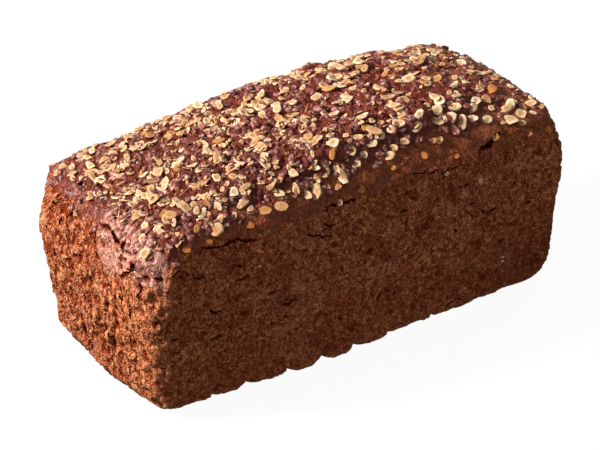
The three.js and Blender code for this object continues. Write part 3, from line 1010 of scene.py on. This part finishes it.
# %% [markdown]
# ## Strewing
#
# A strewn piece drops straight down until it meets the crust and tips a little. Knobs and chips sink into
# the crust by a small part of their thickness, and flakes lie on it. Near the long edge they lean
# outwards with the shoulder. The rim of each copy wobbles and curls in its own way. All copies of one
# kind become one mesh. Each copy stores a random tone for its material, and every point how far it is
# from the middle of its flake, because the rim toasts differently.

# %% One kind of strewn piece
WOBBLE, CURL = (0.88, 1.08), 0.2


class Kind:
    """Copies of a few models that become one piece."""

    def __init__(self, name, models, finish):
        self.name, self.models, self.finish = name, models, finish
        self.points, self.faces, self.tones, self.rims = [], [], [], []

    def lay(self, place, facing, size, tip, tone):
        """Adds a copy. Size is length, width and thickness in mm."""
        points, faces = self.models[draw.randrange(len(self.models))]
        turn_share = np.arctan2(points[:, 1], points[:, 0]) / (2 * math.pi)
        sector = np.round(turn_share * RIM_POINTS).astype(int) % RIM_POINTS
        out = np.linalg.norm(points[:, :2], axis=1) * 2
        pull = np.array([draw.uniform(*WOBBLE) for _ in range(RIM_POINTS)])[sector]
        around = sector * 2 * math.pi / RIM_POINTS
        curl = draw.uniform(0, CURL) * np.cos(2 * (around - draw.uniform(0, math.pi)))
        grown = points * np.stack([pull, pull, np.ones(len(points))], 1)
        grown[:, 2] += curl * out ** 2
        grown *= np.array(size)
        tip_over = Vector((draw.uniform(-1, 1), draw.uniform(-1, 1), 0)).normalized()
        lean = Quaternion(tip_over, math.radians(tip))
        turn = facing.to_track_quat("Z", "Y") @ lean @ Quaternion((0, 0, 1), draw.uniform(0, 2 * math.pi))
        first = sum(len(p) for p in self.points)
        self.points.append(grown @ np.array(turn.to_matrix()).T + np.array(place))
        self.faces += [tuple(first + corner for corner in face) for face in faces]
        self.tones.append(np.full(len(points), tone))
        self.rims.append(np.clip(out, 0, 1))

    def build(self):
        piece = new_piece(self.name, (np.concatenate(self.points) * MM).tolist(), self.faces)
        add_number(piece, "tone", np.concatenate(self.tones))
        add_number(piece, "rim", np.concatenate(self.rims))
        piece.data.materials.append(self.finish)
        hold(piece)
        bpy.ops.object.shade_smooth_by_angle(angle=math.radians(65))
        print(self.name, len(self.points), "copies,", sum(len(f) - 2 for f in self.faces), "triangles")
        return piece

# %% Drop and strew
FOLLOWS_LUMPS, FACES_UP, FACES_OUT = 0.25, 0.55, 0.5
LEANS_TO = Vector((-0.1, -0.06, 1)).normalized()
NEAR_EDGE_LEANS_TO = Vector((-0.45, -0.5, 0.74)).normalized()
# How far round its middle a piece touches the crust, how deep that middle may lie, and where it drops from.
REACH, MOST_SUNK, DROP_HEIGHT = 1.4, 0.3, 200
LOWEST, TRIES_EACH = RIM_HEIGHT - 6, 60

crust_surface = surface_of(loaf)


def straight_down(surface, along, across):
    """Where a line straight down meets the surface, in m, and which way it faces there."""
    return surface.ray_cast(Vector((along, across, DROP_HEIGHT)) * MM, Vector((0, 0, -1)))[:2]


def drop(along, across):
    """Where a piece dropped at this place comes to lie, in mm, and which way it faces."""
    hits = []
    for dx, dy in ((0, 0), (REACH, 0), (-REACH, 0), (0, REACH), (0, -REACH)):
        hit, facing = straight_down(crust_surface, along + dx, across + dy)
        if hit is None:
            return None, None
        hits.append((hit.z / MM, facing))
    fine = sum((facing for _, facing in hits), Vector()).normalized()
    broad = straight_down(smooth_surface, along, across)[1] or fine
    facing = broad.lerp(fine, FOLLOWS_LUMPS).lerp(LEANS_TO, FACES_UP * broad.z ** 2).normalized()
    facing = facing.lerp(NEAR_EDGE_LEANS_TO, FACES_OUT * near_edge(across)).normalized()
    heights = [height for height, _ in hits]
    height = max(sum(heights) / len(heights), heights[0] - MOST_SUNK)
    return Vector((along, across, height)), facing


def strew(kind, count, share_at, spacing, size_at, tips, rise, next_tone):
    """Sows copies over the top. Functions of the place give how likely one stays and its size."""
    laid, tries = 0, 0
    taken = {}
    while laid < count and tries < count * TRIES_EACH:
        tries += 1
        along, across = draw.uniform(-LENGTH / 2, LENGTH / 2), draw.uniform(-WIDTH / 2, WIDTH / 2)
        if draw.random() > share_at(along, across):
            continue
        row, column = int(along // spacing), int(across // spacing)
        cells = [(row + dx, column + dy) for dx in (-1, 0, 1) for dy in (-1, 0, 1)]
        if any(math.dist(spot, (along, across)) < spacing for cell in cells for spot in taken.get(cell, [])):
            continue
        place, facing = drop(along, across)
        if place is None or place.z < LOWEST:
            continue
        size = size_at(along, across)
        # Pieces lie flatter towards the far edge, the right end and the near edge.
        tip = draw.uniform(*tips) * (1 - 0.85 * float(ease(12, 40, across)))
        tip *= 1.3 - 0.7 * to_the_right(along)
        tip *= 1 - 0.6 * near_edge(across)
        kind.lay(place + facing * (rise * size[2]), facing, size, tip, next_tone())
        taken.setdefault((row, column), []).append((along, across))
        laid += 1

# %% [markdown]
# ## Finishes of the strewn pieces
#
# Oats are pale and matt, from cream to golden brown, toasted in the middle, with small flecks and here
# and there a film of dough. Bran chips are red brown and dull. The knobs are dough that baked hard: plum
# brown, with a slight gloss and pale lilac specks that are a painted highlight. Flakes that are coated with
# dough have the same finish. All three are painted a little darker towards the left end, as painted shade
# against the lamp.

# %% Material: toasted oat
OAT_TONES = ((0.0, "#E9D4B4"), (0.35, "#DEBF96"), (0.65, "#CCA074"), (0.88, "#B87E46"), (1.0, "#A85E2C"))


def make_toasted_oat(material):
    tree = blank_material(material)
    place = node(tree, "TexCoord").outputs["Object"]
    tone = node(tree, "Attribute", {"attribute_name": "tone"}).outputs["Fac"]
    rim = node(tree, "Attribute", {"attribute_name": "rim"}).outputs["Fac"]
    ramp = node(tree, "ValToRGB", None, Fac=tone)
    while len(ramp.color_ramp.elements) < len(OAT_TONES):
        ramp.color_ramp.elements.new(0.5)
    for stop, (position, colour) in zip(ramp.color_ramp.elements, OAT_TONES):
        stop.position = position
        stop.color = paint(colour)
    fibre = grain(tree, place, 0.8)
    body = layered(
        tree, ramp.outputs[0],
        (fibre, 0.45, 0.7, 0.35, "#BE8A54"),
        (grain(tree, place, 3.5, 4), 0.67, 0.74, 0.35, "#8A4A34"),
        (grain(tree, place, 0.55, 4), 0.57, 0.68, 0.5, "#9A643C"))
    golden = layered(tree, body, (rim, 0.62, 0.3, 0.85, "#B4763A"))
    colour = layered(tree, golden, (grain(tree, place, 2.2), 0.5, 0.75, 1, body))
    rough = node(tree, "Bump", None, Strength=0.8, Distance=0.3 * MM, Height=fibre)
    # The oat colour is painted darker towards the left end, as painted shade against the lamp.
    skin = node(tree, "BsdfPrincipled", None, Base_Color=painted_darker_left(tree, place, colour), Roughness=0.6,
                IOR=1.45, Specular_IOR_Level=0.2, Normal=rough.outputs[0])
    node(tree, "OutputMaterial", None, Surface=skin.outputs[0])

# %% Materials: bran and knobs
def make_chip(material, dark, light, speck_or_highlight, roughness):
    tree = blank_material(material)
    place = node(tree, "TexCoord").outputs["Object"]
    tone = node(tree, "Attribute", {"attribute_name": "tone"}).outputs["Fac"]
    speck = grain(tree, place, 1.7)
    colour = node(tree, "Mix", {"data_type": "RGBA"}, _0=tone, _6=dark, _7=light).outputs[2]
    # The colour is painted darker towards the left end, as painted shade against the lamp.
    colour = painted_darker_left(tree, place, layered(tree, colour, (speck, 0.42, 0.7, 0.7, speck_or_highlight)))
    rough = node(tree, "Bump", None, Strength=0.5, Distance=0.3 * MM, Height=speck)
    skin = node(tree, "BsdfPrincipled", None, Base_Color=colour, Roughness=roughness, IOR=1.45,
                Specular_IOR_Level=0.22, Normal=rough.outputs[0])
    node(tree, "OutputMaterial", None, Surface=skin.outputs[0])


oat_finish = bpy.data.materials.new("toasted_oat")
make_toasted_oat(oat_finish)
bran_finish = bpy.data.materials.new("baked_bran")
make_chip(bran_finish, "#5E2210", "#964A2A", "#C08A66", 0.45)
knob_finish = bpy.data.materials.new("hard_baked_dough")
# The pale lilac specks of the knobs are a painted highlight.
make_chip(knob_finish, "#481A10", "#864438", "#D0A09A", 0.36)
print("finishes:", [finish.name for finish in (oat_finish, bran_finish, knob_finish)])

# %% [markdown]
# ## Knobs, bran and broken flakes
#
# First the knobs: a row of large ones beside the left rim, small ones all over the top, and a few burnt
# ones on the far edge that show against the light. Chips of bran, flakes that the dough covers and broken
# flakes follow.

# %% Strew the knobs
def knob_size(lengths, widths):
    """A function that draws a size: the length in mm, and the width and height as shares of it."""
    def size(along, across):
        length = draw.triangular(*lengths)
        return [length, length * draw.uniform(*widths), length * draw.uniform(0.55, 0.8)]
    return size


def knobs_at(along, across):
    share = (1 - 0.97 * near_band(along, across)) * (1 - 0.7 * to_the_right(along))
    return share * (1 - 0.7 * near_corner(along, across))


knob_pieces = Kind("crust_knobs", LUMPS, knob_finish)
rim_knob, small_knob = knob_size((4.0, 7.5, 5.0), (0.6, 0.9)), knob_size((2.6, 6.4, 3.8), (0.65, 0.95))
strew(knob_pieces, 42, beside_left_rim, 4.6, rim_knob, (0, 25), -0.28, draw.random)
strew(knob_pieces, 740, knobs_at, 1.9, small_knob, (0, 30), -0.2, draw.random)

# %% Burnt knobs of the far edge
# Along, across and length in mm.
FAR_KNOBS = ((108.2, 37.5, 5.6), (112.0, 33.0, 4.4), (104.5, 41.5, 4.0), (96.0, 47.6, 3.6))
for along, across, length in FAR_KNOBS:
    place, facing = drop(along, across)
    knob_pieces.lay(place, facing, [length, length * 0.8, length * 0.7], 10, 0.0)
print("knobs:", len(knob_pieces.points))

# %% Strew bran, coated and broken flakes
def between(*sides):
    """A function that draws length, width and thickness, each between two sizes in mm."""
    return lambda along, across: [draw.uniform(*side) for side in sides]


def broken_at(along, across):
    return sown(along, across, 0.8) * clumped(along, across, 11, 2.5) * fewer_in_the_middle(along, across)


bran_pieces = Kind("bran_chips", BROKEN_FLAKES, bran_finish)
bran_size = between((1.6, 4.4), (1.0, 2.6), (1.4, 2.4))
strew(bran_pieces, 380, lambda *spot: sown(*spot, 0.5), 1.6, bran_size, (8, 50), 0.0, draw.random)
coated_pieces = Kind("dough_coated_flakes", WHOLE_FLAKES + BROKEN_FLAKES, knob_finish)
coated_size = between((3.4, 7), (2.6, 5), (2.0, 3.4))
strew(coated_pieces, 380, lambda *spot: sown(*spot, 0.6), 2.6, coated_size, (3, 32), -0.12, draw.random)
broken_pieces = Kind("broken_oat_flakes", BROKEN_FLAKES, oat_finish)
broken_size = between((2, 4.6), (1.4, 3.2), (1.6, 2.6))
strew(broken_pieces, 420, broken_at, 1.6, broken_size, (5, 50), 0.05, lambda: draw.triangular(0, 1, 0.45))
print("chips and flakes:", [len(kind.points) for kind in (bran_pieces, coated_pieces, broken_pieces)])

# %% [markdown]
# ## Whole oat flakes
#
# The larger flakes near the edge of the top, where each one shows, are laid one by one and lean outwards.
# The others are strewn between them, in loose clumps. They are smaller towards the far edge and the right
# rim.

# %% Flakes with a place of their own
# Along, across and length in mm, and tone.
PLACED_FLAKES = (
    (-79.3, -48.9, 7.4, 0.55), (-73.3, -40.5, 5.0, 0.2), (-62.7, -50.1, 4.2, 1.0), (-84.6, -50.5, 3.6, 1.0),
    (-95.4, -50.2, 4.2, 1.0), (-53.3, -48.7, 5.2, 0.8), (-44.9, -49.0, 5.6, 0.7), (-34.3, -45.2, 4.6, 0.3),
    (-30.2, -47.8, 4.6, 0.35), (-25.4, -48.1, 6.8, 0.45), (-15.2, -52.3, 3.4, 0.0), (-2.6, -50.9, 4.2, 0.95),
    (5.6, -41.3, 4.4, 0.15), (10.9, -39.3, 5.2, 0.1), (17.4, -44.4, 5.0, 0.4), (21.3, -42.3, 4.8, 0.35),
    (36.8, -39.3, 5.2, 0.2), (40.8, -35.3, 4.6, 0.15), (45.7, -44.5, 4.2, 0.5), (52.4, -33.4, 6.0, 0.2),
    (57.2, -38.0, 6.2, 0.1), (61.8, -40.4, 6.6, 0.3), (67.8, -40.1, 4.6, 0.0), (75.2, -42.0, 5.2, 0.1),
    (74.9, -48.8, 4.6, 0.9), (86.8, -44.7, 6.8, 0.25), (94.1, -43.5, 5.6, 0.3), (105.1, -49.6, 4.4, 1.0),
    (104.4, -37.1, 5.2, 0.4), (76.4, -31.6, 6.0, 0.15), (57.2, -4.1, 6.6, 0.25), (34.1, 23.1, 7.0, 0.2),
    (97.1, 10.0, 6.0, 0.1), (42.6, -44.1, 3.4, 0.9), (34.8, -48.0, 4.2, 1.0), (40.5, -50.7, 2.6, 1.0),
    (51.5, -50.5, 3.2, 1.0), (94.0, -50.5, 3.2, 1.0), (17.2, -48.4, 2.8, 0.9), (-14.5, -48.8, 2.4, 0.6),
    (92.0, -47.3, 3.4, 0.5),
)
PLACED_RISE = 0.2

whole_pieces = Kind("oat_flakes", WHOLE_FLAKES, oat_finish)
for along, across, length, tone in PLACED_FLAKES:
    place, facing = drop(along, across)
    facing = facing.lerp(NEAR_EDGE_LEANS_TO, FACES_OUT).normalized()
    size = [length, length * draw.uniform(0.85, 1.0), length * 0.45]
    whole_pieces.lay(place + facing * PLACED_RISE, facing, size, draw.uniform(2, 12), tone)
print("placed flakes:", len(whole_pieces.points))

# %% Strew the whole flakes
FREE_ROUND_PLACED = 4.5


def flake_size(along, across):
    length = draw.triangular(2.4, 7.0, 4.0) + 0.3 * to_the_right(along)
    length *= 1 - 0.35 * max(float(ease(38, 48, across)), float(ease(98, 110, along)))
    slim = 0.58 + 0.2 * to_the_right(along)
    return [length, length * draw.uniform(slim, 1.0), length * draw.uniform(0.4, 0.6)]


def away_from_placed(along, across):
    return min(math.dist((along, across), spot[:2]) for spot in PLACED_FLAKES) > FREE_ROUND_PLACED


def whole_at(along, across):
    share = sown(along, across, 0.35) * away_from_placed(along, across) * fewer_in_the_middle(along, across)
    return share * (0.12 + 0.88 * clumped(along, across, 10, 7.5))


strew(whole_pieces, 530, whole_at, 2.3, flake_size, (2, 28), 0.1, lambda: draw.triangular(0, 1, 0.35))
print("whole flakes:", len(whole_pieces.points))

# %% [markdown]
# ## Specks on the walls
#
# Bits of oats and bran stick here and there to the walls. They are the smallest broken flakes, pressed
# in. Most of them are toasted and sit on the ends. A few larger pale ones have a place of their own on
# the near long wall.

# %% Press specks into the walls
SPECKS = {LEFT_END: 60, RIGHT_END: 60, FRONT: 14, BACK: 14}
EDGE_FREE_OF_SPECKS = 10


def stud(kind, wall, spot, size, tip, tone, proud):
    """Presses one copy into a wall, so that it stands out by this much, in mm."""
    place, facing = on_wall(crust_surface, wall, *spot)
    facing = smooth_surface.find_nearest(place * MM)[1].lerp(facing, FOLLOWS_LUMPS).normalized()
    kind.lay(place + facing * (proud - size[2] / 4), facing, size, tip, tone)


speck_pieces = Kind("wall_specks", BROKEN_FLAKES, oat_finish)
for wall, count in SPECKS.items():
    half_wall = (LENGTH if wall in (FRONT, BACK) else WIDTH) / 2 - EDGE_FREE_OF_SPECKS
    for _ in range(count):
        wide = draw.triangular(0.8, 2.0, 1.0)
        spot = (draw.uniform(-half_wall, half_wall), draw.uniform(3, RIM_HEIGHT - 2))
        stud(speck_pieces, wall, spot, (wide, wide * 1.3, wide), tip=draw.uniform(0, 12),
             tone=draw.uniform(0.45, 1), proud=0.2)

# %% Larger specks of the near long wall
# Along and height in mm, and width.
PLACED_SPECKS = ((61.9, 77.1, 2.0), (44.3, 84.8, 1.7), (79.5, 26.5, 1.2), (81.1, 23.6, 1.3),
                 (-60.4, 71.5, 1.2))
for along, height, wide in PLACED_SPECKS:
    stud(speck_pieces, FRONT, (along, height), (wide, wide * 1.5, wide), tip=10, tone=0.0, proud=0.6)

kinds = (knob_pieces, bran_pieces, coated_pieces, broken_pieces, whole_pieces, speck_pieces)
strewn = [kind.build() for kind in kinds]

# %% [markdown]
# ## Studio
#
# The loaf stands on a plain white floor. One large lamp behind it on the left rakes over the crust and
# shows every grain, and an even pale sky fills the shaded long side. The floor is bright to the eye but
# gives no light back, so that the shaded wall stays dark.

# %% Floor, lamp and sky
FLOOR_SIZE = 8
LAMP_AIM = Vector((-0.70, 0.25, 0.55)).normalized()
LAMP_DISTANCE = 1.6
LAMP_SIZE = 0.28
LAMP_POWER = 55
SKY_STRENGTH = 0.295

let_go()
bpy.ops.mesh.primitive_plane_add(size=FLOOR_SIZE)
floor = bpy.context.object
floor.name = "floor"
floor.visible_diffuse = False
floor.visible_glossy = False
floor_paint = bpy.data.materials.new("white_floor")
tree = blank_material(floor_paint)
glow = node(tree, "Emission", None, Color=(1, 1, 1, 1), Strength=0.95)
matt = node(tree, "BsdfDiffuse", None, Color=(0.06, 0.06, 0.06, 1))
both = node(tree, "AddShader", None, _0=glow.outputs[0], _1=matt.outputs[0])
node(tree, "OutputMaterial", None, Surface=both.outputs[0])
floor.data.materials.append(floor_paint)

bpy.ops.object.light_add(type="AREA", location=LAMP_AIM * LAMP_DISTANCE)
lamp = bpy.context.object
lamp.data.size = LAMP_SIZE
lamp.data.energy = LAMP_POWER
lamp.data.color = (1.0, 0.97, 0.95)
lamp.rotation_euler = LAMP_AIM.to_track_quat("Z", "Y").to_euler()

sky = bpy.data.worlds.new("sky")
bpy.context.scene.world = sky
sky.use_nodes = True
sky.node_tree.nodes["Background"].inputs["Color"].default_value = (1, 0.95, 0.93, 1)
sky.node_tree.nodes["Background"].inputs["Strength"].default_value = SKY_STRENGTH
bpy.context.scene.view_settings.view_transform = "Standard"

# %% [markdown]
# ## Hand the pieces to the frame
#
# Every piece rides on the loaf's one body. The crust stands in for the plain solid.

# %% Finish
for piece in (loaf, *strewn):
    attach(piece, "root")
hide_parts("loaf")
